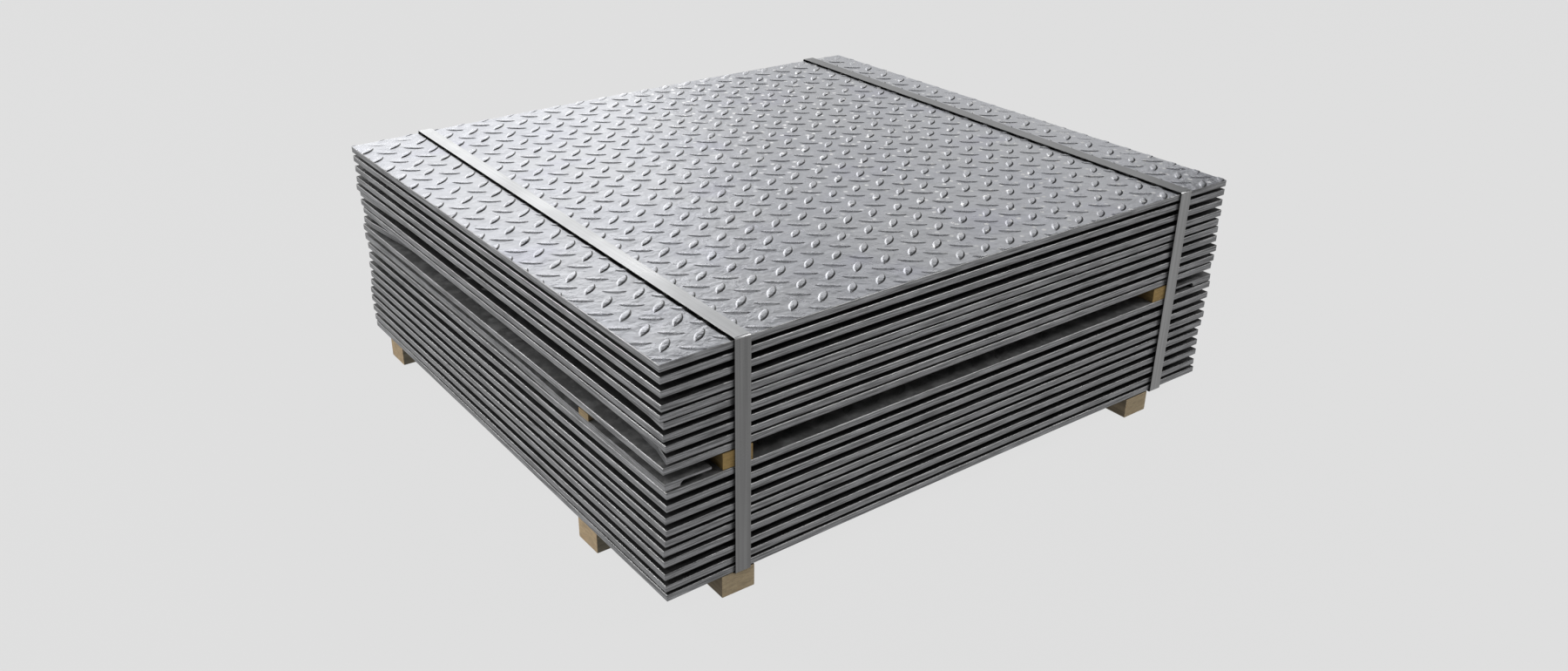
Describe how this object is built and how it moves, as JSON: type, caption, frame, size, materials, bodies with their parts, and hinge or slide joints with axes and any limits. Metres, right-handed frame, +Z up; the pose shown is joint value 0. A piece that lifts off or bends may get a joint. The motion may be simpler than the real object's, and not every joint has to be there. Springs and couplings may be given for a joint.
{
  "type": "strapped bundle of checker steel plates",
  "caption": "Bundle of checker steel plates in two packets on timber bearers, held by two steel straps, with fork space underneath.",
  "frame": {"origin": "middle of the bundle's footprint, on the ground under the bearers", "axes": "+X along the plates' long side, +Y towards the back, away from the front face where the straps and both bearers show, +Z up"},
  "size_m": [1.253, 1.1544, 0.4479],
  "materials": {
    "plate_steel": "mill finish with raised lugs on the upper face",
    "strap_steel": "dull rolled strapping",
    "bearer_timber": "rough sawn softwood",
    "spacer_timber": "rough sawn softwood, darker"
  },
  "bodies": {
    "root": {"plate_01": "plate_steel", "plate_02": "plate_steel", "plate_03": "plate_steel", "plate_04": "plate_steel", "plate_05": "plate_steel", "plate_06": "plate_steel", "plate_07": "plate_steel", "plate_08": "plate_steel", "plate_09": "plate_steel", "plate_10": "plate_steel", "plate_11": "plate_steel", "plate_12": "plate_steel", "plate_13": "plate_steel", "plate_14": "plate_steel", "plate_15": "plate_steel", "plate_16": "plate_steel", "plate_17": "plate_steel", "plate_18": "plate_steel", "plate_19": "plate_steel", "plate_20": "plate_steel", "plate_21": "plate_steel", "bearer_left": "bearer_timber", "bearer_right": "bearer_timber", "block_front_left": "bearer_timber", "block_back_left": "bearer_timber", "block_front_right": "bearer_timber", "block_back_right": "bearer_timber", "spacer_left": "spacer_timber", "spacer_right": "spacer_timber", "packer_front": "spacer_timber", "packer_back": "spacer_timber", "strap_left": "strap_steel", "strap_right": "strap_steel"}
  },
  "joints": []
}
